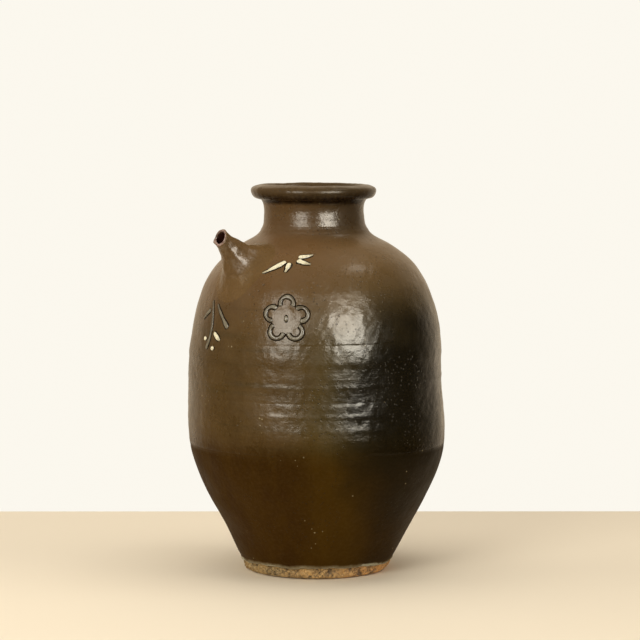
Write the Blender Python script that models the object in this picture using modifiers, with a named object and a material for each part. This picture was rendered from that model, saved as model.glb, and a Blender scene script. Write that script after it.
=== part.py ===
"""Spouted stoneware sake bottle of three sho (5.4 litres), in metres, +Z up.

The origin is the centre of the foot's rest face, and the spout points towards -X.
The potter's pieces are separate solids: a base slab, two thrown wall sections that meet at the
belly, a neck, a coil thrown into the lip, a spout luted over a pierced hole, and trailed slip.
Every luted joint is a tongue in a groove, with the thickness of the luting slip left between.
"""

import math

import bmesh
import bpy
from mathutils import Matrix, Vector

# Driving dimensions.
FOOT_RADIUS = 0.0555
FOOT_CHAMFER = 0.0010
SLAB_THICKNESS = 0.0070
ROLLED_EDGE = 0.0015
HEEL_TOP = 0.0180
HEEL_WIDTH = 0.0170
HEEL_HOLLOW = 0.0050
WALL = 0.0070
NECK_WALL = 0.0060
NECK_THINNING_HEIGHT = 0.0100
SEAM_HEIGHT = 0.1000
NECK_SEAM_HEIGHT = 0.2575
NECK_TOP = 0.2880
LUTING = 0.0004
TONGUE = 0.0020
TURNED_STEPS = 48

# Outer outline of the thrown walls and the neck: height, radius.
OUTLINE = (
    (0.0070, 0.0580),
    (0.0140, 0.0620),
    (0.0300, 0.0699),
    (0.0500, 0.0806),
    (0.0700, 0.0904),
    (0.0850, 0.0960),
    (0.1000, 0.0992),
    (0.1150, 0.1000),
    (0.1500, 0.0990),
    (0.1700, 0.0980),
    (0.1900, 0.0958),
    (0.2050, 0.0925),
    (0.2150, 0.0893),
    (0.2250, 0.0848),
    (0.2330, 0.0800),
    (0.2400, 0.0740),
    (0.2450, 0.0685),
    (0.2500, 0.0620),
    (0.2550, 0.0550),
    (0.2600, 0.0468),
    (0.2650, 0.0411),
    (0.2720, 0.0391),
    (0.2800, 0.0386),
    (0.2850, 0.0392),
    (0.2880, 0.0402),
)

# The lip's section is an ellipse.
LIP_CENTRE = (0.0423, 0.2941)
LIP_HALF_WIDTH = 0.0060
LIP_HALF_HEIGHT = 0.0059
LIP_ARC_START = math.radians(205)
LIP_ARC_END = math.radians(-109)
LIP_ARC_POINTS = 15

# The spout's centre line is a Bezier curve in the plane of symmetry: distance from the axis, height.
SPOUT_BEZIER = ((0.0640, 0.2280), (0.0740, 0.2400), (0.0850, 0.2530), (0.1000, 0.2665))
SPOUT_POINTS = 15
SPOUT_SIDES_RESOLUTION = 8
SPOUT_TIP_RADIUS = 0.0070
SPOUT_BASE_RADIUS = 0.0240
SPOUT_FLARE_POWER = 1.7
SPOUT_BORE_RADIUS = 0.0046
SPOUT_BORE_BASE_RADIUS = 0.0070
SPOUT_MOUTH = (0.0965, 0.2635)
SPOUT_MOUTH_ELEVATION = math.radians(20)
BORE_OVERRUN = 4.0
CUTTER_SIDE = 0.040

# Trailed slip: beads lie on the wall, each one a shallow dome in section.
BEAD_SPACING = 0.0022
BEAD_HEIGHT_SHARE = 0.30
BEAD_END_SHARE = 0.60
BEAD_SIDES_RESOLUTION = 3
LEAF_TAIL_WIDTH = 0.0016

GLAZE = ((0.085, 0.052, 0.022, 1.0), 0.32)
BARE_CLAY = ((0.300, 0.190, 0.080, 1.0), 0.85)
SLIP = ((0.640, 0.570, 0.400, 1.0), 0.40)


def clear_scene():
    for obj in list(bpy.data.objects):
        bpy.data.objects.remove(obj)


def new_collection(name):
    collection = bpy.data.collections.new(name)
    bpy.context.scene.collection.children.link(collection)
    return collection


def new_material(name, finish):
    colour, roughness = finish
    material = bpy.data.materials.new(name)
    material.use_nodes = True
    shader = material.node_tree.nodes["Principled BSDF"]
    shader.inputs["Base Color"].default_value = colour
    shader.inputs["Roughness"].default_value = roughness
    shader.inputs["Metallic"].default_value = 0.0
    return material


# The outline as a smooth curve, read by arc length.


def outline_slope(index):
    """Change of radius with height at one station of the outline."""
    before = OUTLINE[max(index - 1, 0)]
    after = OUTLINE[min(index + 1, len(OUTLINE) - 1)]
    return (after[1] - before[1]) / (after[0] - before[0])


def outline_radius(height):
    """Outer radius at a height, by cubic Hermite spans between the stations."""
    heights = [station[0] for station in OUTLINE]
    index = max(i for i in range(len(heights) - 1) if heights[i] <= max(height, heights[0]))
    low, high = OUTLINE[index], OUTLINE[index + 1]
    span = high[0] - low[0]
    t = (height - low[0]) / span
    a = 2 * t**3 - 3 * t**2 + 1
    b = t**3 - 2 * t**2 + t
    c = -2 * t**3 + 3 * t**2
    d = t**3 - t**2
    return a * low[1] + b * span * outline_slope(index) + c * high[1] + d * span * outline_slope(index + 1)


def outline_normal(height):
    """Unit outward normal of the outline, as radius and height components."""
    step = 0.0002
    low = max(height - step, OUTLINE[0][0])
    high = min(height + step, OUTLINE[-1][0])
    slope = (outline_radius(high) - outline_radius(low)) / (high - low)
    return Vector((1.0, -slope)).normalized()


def outline_point(height, depth=0.0):
    """Point of the outline moved inwards by depth, as radius and height."""
    return Vector((outline_radius(height), height)) - outline_normal(height) * depth


def heights_along(low, high, count):
    """Heights of count points at equal arc lengths of the outline."""
    fine = [low + (high - low) * i / 400 for i in range(401)]
    arcs = [0.0]
    for start, end in zip(fine, fine[1:]):
        arcs.append(arcs[-1] + (outline_point(end) - outline_point(start)).length)
    chosen = []
    for i in range(count):
        wanted = arcs[-1] * i / (count - 1)
        nearest = min(range(len(arcs)), key=lambda k: abs(arcs[k] - wanted))
        chosen.append(fine[nearest])
    return chosen


# Joints between luted pieces.


def joint_face(outer, inner, upwards, side):
    """Three points across the wall: a V whose point sinks into the lower piece.

    side is +1 for the face of the upper piece and -1 for the lower piece's groove.
    """
    shift = upwards * (side * LUTING / 2)
    middle = (outer + inner) / 2 - upwards * TONGUE
    return [outer + shift, middle + shift, inner + shift]


def wall_joint(height, thickness, side):
    normal = outline_normal(height)
    upwards = Vector((-normal.y, normal.x))
    return joint_face(outline_point(height), outline_point(height, thickness), upwards, side)


# Turned pieces.


def turned(name, profile, collection, material=None):
    """A closed profile turned about Z. The profile runs down its outer side and up its inner side."""
    mesh = bpy.data.meshes.new(name)
    on_axis = [i for i, point in enumerate(profile) if point[0] == 0.0]
    edges = [(i, (i + 1) % len(profile)) for i in range(len(profile))]
    if on_axis:
        edges = [edge for edge in edges if not set(edge) <= set(on_axis)]
    mesh.from_pydata([(point[0], 0.0, point[1]) for point in profile], edges, [])
    obj = bpy.data.objects.new(name, mesh)
    collection.objects.link(obj)
    if material:
        mesh.materials.append(material)
    screw = obj.modifiers.new("turn", "SCREW")
    screw.axis = "Z"
    screw.angle = math.tau
    screw.steps = TURNED_STEPS
    screw.render_steps = TURNED_STEPS
    screw.use_merge_vertices = True
    screw.merge_threshold = 0.00002
    screw.use_smooth_shade = True
    return obj


def make_base_slab(collection, material):
    top = SLAB_THICKNESS - LUTING / 2
    profile = [
        (0.0, top),
        (FOOT_RADIUS, top),
        (FOOT_RADIUS, FOOT_CHAMFER),
        (FOOT_RADIUS - FOOT_CHAMFER, 0.0),
        (0.0, 0.0),
    ]
    return turned("base_slab", profile, collection, material)


def make_lower_wall(collection, material):
    bottom = SLAB_THICKNESS + LUTING / 2
    start = SLAB_THICKNESS + ROLLED_EDGE
    outer = [outline_point(h) for h in heights_along(start, SEAM_HEIGHT, 10)[:-1]]
    inner = [outline_point(h, WALL) for h in heights_along(HEEL_TOP, SEAM_HEIGHT, 8)[:-1]]
    foot = [
        Vector((outer[0].x - ROLLED_EDGE, bottom)),
        Vector((outer[0].x - HEEL_WIDTH, bottom)),
        Vector((inner[0].x - HEEL_HOLLOW, (bottom + HEEL_TOP) / 2)),
    ]
    seam = wall_joint(SEAM_HEIGHT, WALL, -1)
    profile = seam[:1] + outer[::-1] + foot + inner + seam[:0:-1]
    return turned("lower_wall", profile, collection, material)


def make_upper_wall(collection, material):
    outer = [outline_point(h) for h in heights_along(SEAM_HEIGHT, NECK_SEAM_HEIGHT, 19)[1:-1]]
    inner = [outline_point(h, WALL) for h in heights_along(SEAM_HEIGHT, NECK_SEAM_HEIGHT, 16)[1:-1]]
    seam = wall_joint(SEAM_HEIGHT, WALL, +1)
    neck_seam = wall_joint(NECK_SEAM_HEIGHT, WALL, -1)
    profile = neck_seam[:1] + outer[::-1] + seam + inner + neck_seam[:0:-1]
    return turned("upper_wall", profile, collection, material)


def neck_wall_at(height):
    """The neck thins from the shoulder's wall to its own."""
    share = min(1.0, (height - NECK_SEAM_HEIGHT) / NECK_THINNING_HEIGHT)
    return WALL + (NECK_WALL - WALL) * share


def lip_point(angle):
    return Vector(
        (
            LIP_CENTRE[0] + LIP_HALF_WIDTH * math.cos(angle),
            LIP_CENTRE[1] + LIP_HALF_HEIGHT * math.sin(angle),
        )
    )


def lip_joint(side):
    """The lip's coil sits on the neck's tongue, along the chord of the lip's ellipse."""
    inner, outer = lip_point(LIP_ARC_START), lip_point(LIP_ARC_END)
    chord = (inner - outer).normalized()
    into_lip = Vector((chord.y, -chord.x))
    return joint_face(outer, inner, -into_lip, -side)


def make_neck(collection, material):
    outer = [outline_point(h) for h in heights_along(NECK_SEAM_HEIGHT, NECK_TOP, 10)[1:-1]]
    inner_heights = heights_along(NECK_SEAM_HEIGHT, NECK_TOP - NECK_WALL, 8)[1:]
    inner = [outline_point(h, neck_wall_at(h)) for h in inner_heights]
    seam = wall_joint(NECK_SEAM_HEIGHT, WALL, +1)
    top = lip_joint(-1)
    profile = top[:1] + outer[::-1] + seam + inner + top[:0:-1]
    return turned("neck", profile, collection, material)


def make_lip(collection, material):
    step = (LIP_ARC_END - LIP_ARC_START) / (LIP_ARC_POINTS - 1)
    arc = [lip_point(LIP_ARC_START + step * i) for i in range(1, LIP_ARC_POINTS - 1)]
    groove = lip_joint(+1)
    return turned("lip", arc + groove, collection, material)


def make_wall_guard(collection):
    """Cutter that fills the bottle out to just outside its wall, so that applied pieces sit clear of it."""
    heights = heights_along(SLAB_THICKNESS, NECK_TOP, 34)
    outer = [outline_point(h, -LUTING) for h in heights]
    profile = [Vector((0.0, outer[-1].y))] + outer[::-1] + [Vector((0.0, outer[0].y))]
    guard = turned("wall_guard", profile, collection)
    hide(guard)
    return guard


def hide(obj):
    obj.hide_render = True
    obj.display_type = "WIRE"


def cut(obj, cutter):
    boolean = obj.modifiers.new("cut_" + cutter.name, "BOOLEAN")
    boolean.operation = "DIFFERENCE"
    boolean.object = cutter
    boolean.solver = "EXACT"


# Tubes along a curve.


def tube(name, points, radii, sides_resolution, collection, material=None):
    """A round bar through points, with its own radius at each point, as a closed mesh."""
    curve = bpy.data.curves.new(name, "CURVE")
    curve.dimensions = "3D"
    curve.bevel_depth = 1.0
    curve.bevel_resolution = sides_resolution
    curve.use_fill_caps = True
    spline = curve.splines.new("POLY")
    spline.points.add(len(points) - 1)
    for point, place, radius in zip(spline.points, points, radii):
        point.co = (*place, 1.0)
        point.radius = radius
    bar = bpy.data.objects.new(name + "_curve", curve)
    collection.objects.link(bar)
    bpy.context.view_layer.update()
    graph = bpy.context.evaluated_depsgraph_get()
    mesh = bpy.data.meshes.new_from_object(bar.evaluated_get(graph))
    mesh.name = name
    weld = bmesh.new()
    weld.from_mesh(mesh)
    bmesh.ops.remove_doubles(weld, verts=weld.verts, dist=0.00001)
    bmesh.ops.recalc_face_normals(weld, faces=weld.faces)
    weld.to_mesh(mesh)
    weld.free()
    obj = bpy.data.objects.new(name, mesh)
    obj.matrix_world = bar.matrix_world
    collection.objects.link(obj)
    bpy.data.objects.remove(bar)
    mesh.materials.clear()
    if material:
        mesh.materials.append(material)
    mesh.shade_smooth()
    mesh.set_sharp_from_angle(angle=math.radians(40))
    return obj


def bezier(points, t):
    a, b, c, d = (Vector(point) for point in points)
    return a * (1 - t) ** 3 + b * 3 * t * (1 - t) ** 2 + c * 3 * t**2 * (1 - t) + d * t**3


def spout_line(count):
    return [bezier(SPOUT_BEZIER, i / (count - 1)) for i in range(count)]


def in_spout_plane(point):
    return Vector((-point[0], 0.0, point[1]))


def make_spout(parts, cutters, wall_guard, material):
    line = spout_line(SPOUT_POINTS)
    shares = [i / (SPOUT_POINTS - 1) for i in range(SPOUT_POINTS)]
    flare = [(1 - share) ** SPOUT_FLARE_POWER for share in shares]
    outer = [SPOUT_TIP_RADIUS + (SPOUT_BASE_RADIUS - SPOUT_TIP_RADIUS) * f for f in flare]
    places = [in_spout_plane(point) for point in line]
    spout = tube("spout", places, outer, SPOUT_SIDES_RESOLUTION, parts, material)

    bore_radii = [SPOUT_BORE_RADIUS + (SPOUT_BORE_BASE_RADIUS - SPOUT_BORE_RADIUS) * f for f in flare]
    first, last = places[0] - places[1], places[-1] - places[-2]
    long_line = [places[0] + first * BORE_OVERRUN] + places + [places[-1] + last * BORE_OVERRUN]
    bore_radii = bore_radii[:1] + bore_radii + bore_radii[-1:]
    bore = tube("spout_bore", long_line, bore_radii, SPOUT_SIDES_RESOLUTION, cutters)
    hide(bore)

    mesh = bpy.data.meshes.new("mouth_plane")
    box = bmesh.new()
    bmesh.ops.create_cube(box, size=CUTTER_SIDE)
    box.to_mesh(mesh)
    box.free()
    mouth_plane = bpy.data.objects.new("mouth_plane", mesh)
    cutters.objects.link(mouth_plane)
    outwards = Vector((-math.cos(SPOUT_MOUTH_ELEVATION), 0.0, math.sin(SPOUT_MOUTH_ELEVATION)))
    mouth_plane.location = in_spout_plane(SPOUT_MOUTH) + outwards * (CUTTER_SIDE / 2)
    mouth_plane.rotation_euler = (0.0, SPOUT_MOUTH_ELEVATION, 0.0)
    hide(mouth_plane)

    cut(spout, mouth_plane)
    cut(spout, bore)
    cut(spout, wall_guard)
    return bore


# Trailed slip: paths on the wall, in metres to the right and upwards of a motif's centre.


def on_wall(centre, across, up, depth):
    """A point near a motif's centre, given as angle from the spout and height, sunk below the wall."""
    angle, height = centre
    normal = outline_normal(height)
    place = outline_point(height + up * normal.x, depth)
    turn = angle + across / outline_radius(height)
    return Vector((-place.x * math.cos(turn), -place.x * math.sin(turn), place.y))


def bead(name, centre, path, widths, parts, wall_guard, material):
    """One trailed stroke: path holds points from the motif's centre, widths the stroke's width at its ends."""
    points = [Vector(point) for point in path]
    places, radii = [], []
    for i, point in enumerate(points):
        share = i / (len(points) - 1)
        half = (widths[0] + (widths[1] - widths[0]) * share) / 2
        if i in (0, len(points) - 1):
            half *= BEAD_END_SHARE
        rise = 2 * half * BEAD_HEIGHT_SHARE
        radius = (half**2 + rise**2) / (2 * rise)
        places.append(on_wall(centre, point.x, point.y, radius - rise - LUTING))
        radii.append(radius)
    stroke = tube(name, places, radii, BEAD_SIDES_RESOLUTION, parts, material)
    cut(stroke, wall_guard)
    return stroke


def arc_path(centre, radius, start, end):
    """Points along an arc, one for each bead spacing. Angles are in degrees."""
    turn = math.radians(end - start)
    count = max(3, round(abs(turn) * radius / BEAD_SPACING) + 1)
    angles = [math.radians(start) + turn * i / (count - 1) for i in range(count)]
    return [Vector(centre) + Vector((math.cos(a), math.sin(a))) * radius for a in angles]


def line_path(start, direction, length, bow=0.0):
    """A stroke from start, towards direction in degrees, bowed sideways by bow at its middle."""
    along = Vector((math.cos(math.radians(direction)), math.sin(math.radians(direction))))
    sideways = Vector((-along.y, along.x))
    count = max(3, round(length / BEAD_SPACING) + 1)
    shares = [i / (count - 1) for i in range(count)]
    return [Vector(start) + along * length * s + sideways * bow * 4 * s * (1 - s) for s in shares]


# Motif centres: angle from the spout towards -Y, height on the wall.
LEAF_CLUSTER = (math.radians(33), 0.2470)
BLOSSOM = (math.radians(34.5), 0.2035)
TWIG = (math.radians(-8), 0.1990)

# Leaves of the cluster spread from one point: direction in degrees, length, width, bow.
CLUSTER_LEAVES = (
    (222, 0.0190, 0.0040, 0.0008),
    (262, 0.0100, 0.0036, 0.0004),
    (338, 0.0110, 0.0044, -0.0008),
    (16, 0.0120, 0.0040, -0.0008),
)
CLUSTER_GAP = 0.0050

PETALS = 5
PETAL_DISTANCE = 0.0118
PETAL_RADIUS = 0.0052
PETAL_SWEEP = 236
PETAL_WIDTH = 0.0026
BUD_WIDTH = 0.0044
BUD_LENGTH = 0.0018

TWIG_WIDTH = 0.0026
TWIG_RADIUS = 0.0420
TWIG_DROP = 0.0040
TWIG_SWEEP = (-26, 28)
# Leaves of the twig: place from its centre, direction, length, width.
TWIG_LEAVES = (
    ((0.0035, 0.0130), -48, 0.0240, 0.0034),
    ((-0.0055, 0.0080), 218, 0.0130, 0.0034),
    ((0.0040, -0.0090), -35, 0.0100, 0.0040),
)
TWIG_BUDS = ((-0.0075, -0.0150), (0.0045, -0.0215))


def make_slip_motifs(parts, wall_guard, material):
    def stroke(name, centre, path, widths):
        bead(name, centre, path, widths, parts, wall_guard, material)

    for i, (direction, length, width, bow) in enumerate(CLUSTER_LEAVES):
        towards = Vector((math.cos(math.radians(direction)), math.sin(math.radians(direction))))
        path = line_path(towards * CLUSTER_GAP, direction, length, bow)
        stroke(f"cluster_leaf_{i + 1}", LEAF_CLUSTER, path, (width, LEAF_TAIL_WIDTH))

    for i in range(PETALS):
        direction = 90 + 360 * i / PETALS
        middle = Vector((math.cos(math.radians(direction)), math.sin(math.radians(direction))))
        half_sweep = PETAL_SWEEP / 2
        path = arc_path(middle * PETAL_DISTANCE, PETAL_RADIUS, direction - half_sweep, direction + half_sweep)
        stroke(f"petal_{i + 1}", BLOSSOM, path, (PETAL_WIDTH, PETAL_WIDTH))
    bud_widths = (BUD_WIDTH, BUD_WIDTH)
    stroke("blossom_centre", BLOSSOM, line_path((-BUD_LENGTH / 2, 0.0), 0, BUD_LENGTH), bud_widths)

    path = arc_path((-TWIG_RADIUS, -TWIG_DROP), TWIG_RADIUS, *TWIG_SWEEP)
    stroke("twig_stem", TWIG, path, (TWIG_WIDTH, LEAF_TAIL_WIDTH))
    for i, (place, direction, length, width) in enumerate(TWIG_LEAVES):
        stroke(f"twig_leaf_{i + 1}", TWIG, line_path(place, direction, length), (width, LEAF_TAIL_WIDTH))
    for i, place in enumerate(TWIG_BUDS):
        stroke(f"twig_bud_{i + 1}", TWIG, line_path(place, 90, BUD_LENGTH), bud_widths)


def main():
    clear_scene()
    parts = new_collection("sake_bottle")
    cutters = new_collection("cutters")
    glaze = new_material("iron_glaze", GLAZE)
    bare_clay = new_material("bare_clay", BARE_CLAY)
    slip = new_material("trailed_slip", SLIP)

    make_base_slab(parts, bare_clay)
    make_lower_wall(parts, glaze)
    upper_wall = make_upper_wall(parts, glaze)
    make_neck(parts, glaze)
    make_lip(parts, glaze)
    wall_guard = make_wall_guard(cutters)
    bore = make_spout(parts, cutters, wall_guard, glaze)
    cut(upper_wall, bore)
    make_slip_motifs(parts, wall_guard, slip)


main()
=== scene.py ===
"""Looks of the spouted stoneware sake bottle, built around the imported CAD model.

Metres, +Z up, origin at the centre of the foot, spout towards -X. Angles run from the spout
towards -Y. Every surface is a grid of points worked out from the bottle's outline.
"""

import math

import bmesh
import bpy
import numpy as np
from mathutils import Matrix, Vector


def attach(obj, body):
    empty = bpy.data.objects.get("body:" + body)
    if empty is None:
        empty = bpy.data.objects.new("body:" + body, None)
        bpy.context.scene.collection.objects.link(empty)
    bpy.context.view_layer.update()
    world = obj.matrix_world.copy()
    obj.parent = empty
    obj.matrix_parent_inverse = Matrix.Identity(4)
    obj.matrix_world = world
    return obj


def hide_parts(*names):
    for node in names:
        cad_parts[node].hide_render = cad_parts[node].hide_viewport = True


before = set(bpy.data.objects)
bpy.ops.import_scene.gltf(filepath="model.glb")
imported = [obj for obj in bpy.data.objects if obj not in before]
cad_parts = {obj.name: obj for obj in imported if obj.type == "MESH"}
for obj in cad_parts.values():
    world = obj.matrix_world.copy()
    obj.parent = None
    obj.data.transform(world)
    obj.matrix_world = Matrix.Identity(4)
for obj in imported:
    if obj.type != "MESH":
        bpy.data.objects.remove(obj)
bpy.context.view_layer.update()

COLUMNS = 600
TABLE_SIZE = 3000
WALL = 0.0070
NECK_WALL = 0.0060
RIPPLE = 0.0004
RIPPLE_PITCH = 0.011
SEAM = 0.1000
NECK_SEAM = 0.2575

# Outer outline of the wall and neck: height, radius, in millimetres.
OUTLINE = (
    (7.0, 57.9), (14.0, 61.9), (30.0, 69.8), (50.0, 80.5), (70.0, 90.4), (85.0, 95.9),
    (95.0, 98.4), (105.0, 99.6), (115.0, 99.9), (130.0, 99.3), (150.0, 98.8), (170.0, 98.4),
    (190.0, 96.7), (205.0, 93.4), (215.0, 90.0), (225.0, 85.7), (233.0, 80.7), (240.0, 74.9),
    (245.0, 69.5), (250.0, 63.2), (255.0, 55.8), (259.0, 48.2), (263.0, 43.0), (268.0, 40.2),
    (275.0, 38.9), (282.0, 38.8), (287.0, 40.0), (289.8, 41.9),
)


# The outline as a smooth curve by arc length.


def natural_spline(knots, values, at):
    """Cubic spline through values at knots, read at the places given."""
    n = len(knots)
    gap = np.diff(knots)
    system = np.eye(n)
    right = np.zeros(n)
    for i in range(1, n - 1):
        system[i, i - 1] = gap[i - 1]
        system[i, i] = 2 * (gap[i - 1] + gap[i])
        system[i, i + 1] = gap[i]
        right[i] = 3 * ((values[i + 1] - values[i]) / gap[i] - (values[i] - values[i - 1]) / gap[i - 1])
    c = np.linalg.solve(system, right)
    i = np.clip(np.searchsorted(knots, at, side="right") - 1, 0, n - 2)
    t = at - knots[i]
    b = (values[i + 1] - values[i]) / gap[i] - gap[i] * (2 * c[i] + c[i + 1]) / 3
    d = (c[i + 1] - c[i]) / (3 * gap[i])
    return values[i] + b * t + c[i] * t**2 + d * t**3


def profile_table(stations):
    """Arc length, radius, height and outward normal at many places along a smooth outline."""
    z, r = np.array(stations).T / 1000
    chord = np.concatenate([[0], np.cumsum(np.hypot(np.diff(z), np.diff(r)))])
    fine = np.linspace(0, chord[-1], TABLE_SIZE)
    rr, zz = natural_spline(chord, r, fine), natural_spline(chord, z, fine)
    arc = np.concatenate([[0], np.cumsum(np.hypot(np.diff(zz), np.diff(rr)))])
    dr, dz = np.gradient(rr, arc), np.gradient(zz, arc)
    length = np.hypot(dr, dz)
    return {"arc": arc, "r": rr, "z": zz, "nr": dz / length, "nz": -dr / length}


OUTER = profile_table(OUTLINE)


def read(table, key, u):
    return np.interp(u, table["arc"], table[key])


def arc_at(height):
    return float(np.interp(height, OUTER["z"], OUTER["arc"]))


# Noise: sums of plane waves with seeded directions.


def waves(seed, shortest, longest, count=40):
    """A smooth random field of about unit spread. Wavelengths are in metres."""
    rng = np.random.default_rng(seed)
    direction = rng.normal(size=(count, 3))
    direction /= np.linalg.norm(direction, axis=1)[:, None]
    size = 2 * math.pi / np.exp(rng.uniform(math.log(shortest), math.log(longest), count))
    vector = direction * size[:, None]
    phase = rng.uniform(0, 2 * math.pi, count)

    def field(points):
        flat = points.reshape(-1, 3)
        total = np.zeros(len(flat))
        for k in range(count):
            total += np.sin(flat @ vector[k] + phase[k])
        return (total * math.sqrt(2 / count)).reshape(points.shape[:-1])

    return field


def smoothstep(low, high, x):
    t = np.clip((x - low) / (high - low), 0, 1)
    return t * t * (3 - 2 * t)


def bump(x, centre, width):
    return np.exp(-(((x - centre) / width) ** 2))


# The potter's centre line wanders sideways with height: height, shift, along one direction.
WANDER = (
    (0.000, 0.0004), (0.020, 0.0013), (0.040, 0.0019), (0.060, 0.0021), (0.085, 0.0019),
    (0.110, 0.0008), (0.130, -0.0001), (0.150, -0.0006), (0.170, 0.0002), (0.190, 0.0012),
    (0.210, 0.0007), (0.230, 0.0000), (0.250, 0.0000), (0.270, -0.0010), (0.300, -0.0016),
)
WANDER_AXIS = (0.749, -0.6626)
WANDER_HEIGHTS = np.linspace(0, 0.3, 301)
WANDER_SHIFT = natural_spline(*np.array(WANDER).T, WANDER_HEIGHTS)


def turned(radius, height, angle):
    shift = np.interp(height, WANDER_HEIGHTS, WANDER_SHIFT)
    x = -radius * np.cos(angle) + shift * WANDER_AXIS[0]
    y = -radius * np.sin(angle) + shift * WANDER_AXIS[1]
    return np.stack([x, y, height], -1)


def angle_from(angle, centre):
    """Signed difference between angles, in radians."""
    return (angle - centre + math.pi) % (2 * math.pi) - math.pi


slow = waves(3, 0.060, 0.200)
lumpy = waves(5, 0.016, 0.050)
dimples = waves(7, 0.0055, 0.0120, 60)
crust_large = waves(11, 0.006, 0.016)
crust_small = waves(13, 0.0018, 0.0045, 60)

# Throwing marks on the upper wall: height, rise, and width above and below, in metres.
RIDGES = (
    (0.2230, 0.00018, 0.0045, 0.0040), (0.2080, 0.00022, 0.0045, 0.0045),
    (0.1960, -0.00012, 0.0022, 0.0022), (0.1845, -0.00019, 0.0008, 0.0009),
    (0.1712, 0.00100, 0.0085, 0.0030), (0.1590, 0.00022, 0.0030, 0.0030),
    (0.1530, 0.00055, 0.0022, 0.0022), (0.1414, -0.00020, 0.0010, 0.0010),
    (0.1375, 0.00018, 0.0022, 0.0020), (0.1310, 0.00036, 0.0026, 0.0024),
    (0.1200, 0.00028, 0.0028, 0.0028), (0.1130, 0.00016, 0.0030, 0.0030),
    (0.1025, 0.00018, 0.0024, 0.0024), (0.0985, -0.00024, 0.0014, 0.0014),
)
NECK_RINGS = ((0.2655, 0.00022, 0.0012), (0.2700, -0.00016, 0.0012), (0.2760, 0.00010, 0.0020))

# How far each kind of unevenness stands off the outline, in metres.
WAVER = 0.00040
LUMPS = 0.00007
DIMPLES = 0.00003

# The spout meets the wall in an oval about this centre. The hole in the wall is a share of it.
SPOUT_ROOT_ARC = arc_at(0.2410)
FOOTPRINT_SIDE = 0.0260
FOOTPRINT_UP = 0.0275
FOOTPRINT_DOWN = 0.0340
FOOTPRINT_HOLE = 0.22
SINK_UNDER_SKIRT = 0.0014


def footprint(angle, u):
    """0 at the spout's root and 1 at its edge on the wall."""
    across = angle_from(angle, 0.0) * read(OUTER, "r", u)
    up = u - SPOUT_ROOT_ARC
    reach = np.where(up > 0, FOOTPRINT_UP, FOOTPRINT_DOWN)
    return np.sqrt((across / FOOTPRINT_SIDE) ** 2 + (up / reach) ** 2)


def relief(angle, points):
    """How far the potter's hand and the glaze stand off the true outline, in metres."""
    z = points[..., 2]
    body = smoothstep(0.020, 0.060, z) * (1 - smoothstep(0.235, 0.262, z))
    out = WAVER * slow(points) * body
    out += LUMPS * lumpy(points) * (0.5 + 0.5 * body)
    swing = 0.0012 * np.sin(angle + 0.6) + 0.0006 * np.sin(2 * angle + 2.0)
    strength = 0.48 + 0.24 * np.sin(angle * 2 + z * 60) * np.sin(angle + z * 35 + 1.0)
    for height, rise, above, below in RIDGES:
        width = np.where(z + swing > height, above, below)
        out += rise * strength * bump(z + swing, height, width)
    for height, rise, width in NECK_RINGS:
        out += rise * bump(z + 0.3 * swing, height, width)
    upper = smoothstep(0.100, 0.118, z) * (1 - smoothstep(0.225, 0.250, z))
    front = 0.55 + 0.45 * np.cos(angle_from(angle, math.radians(60)))
    out += DIMPLES * dimples(points) * (0.45 + upper * front)
    return out


def sink(angle, u):
    """The wall drops away under the spout's skirt."""
    return SINK_UNDER_SKIRT * (1 - smoothstep(0.74, 0.985, footprint(angle, u)))


def outer(angle, u, lift=0.0, sunk=True):
    r, z = read(OUTER, "r", u), read(OUTER, "z", u)
    points = turned(r, z, angle)
    away = relief(angle, points) + lift
    if sunk:
        away = away - sink(angle, u)
    return turned(r + read(OUTER, "nr", u) * away, z + read(OUTER, "nz", u) * away, angle)


def inner(angle, u, lift=0.0):
    """Inner face of the wall, behind the same place of the outer one."""
    r, z = read(OUTER, "r", u), read(OUTER, "z", u)
    thick = WALL + (NECK_WALL - WALL) * smoothstep(NECK_SEAM, NECK_SEAM + 0.01, z) - lift
    r = r - read(OUTER, "nr", u) * thick
    z = z - read(OUTER, "nz", u) * thick
    ripple = RIPPLE * np.sin(z * 2 * math.pi / RIPPLE_PITCH + angle)
    return turned(r + ripple, z, angle)


# Meshes from grids.


def surface_normals(surface, angle, u):
    """Unit normals of a surface given as a function of angle and arc length."""
    turn, step = 0.0012, 0.00012
    along = surface(angle + turn, u) - surface(angle - turn, u)
    rise = surface(angle, u + step) - surface(angle, u - step)
    normal = np.cross(along, rise)
    return normal / np.linalg.norm(normal, axis=-1)[..., None]


def grid_normals(points):
    """Unit normals of a grid that closes on itself along its columns."""
    along = np.roll(points, -1, axis=1) - np.roll(points, 1, axis=1)
    rise = np.gradient(points, axis=0)
    normal = np.cross(along, rise)
    size = np.linalg.norm(normal, axis=-1)[..., None]
    return normal / np.maximum(size, 1e-12)


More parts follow.
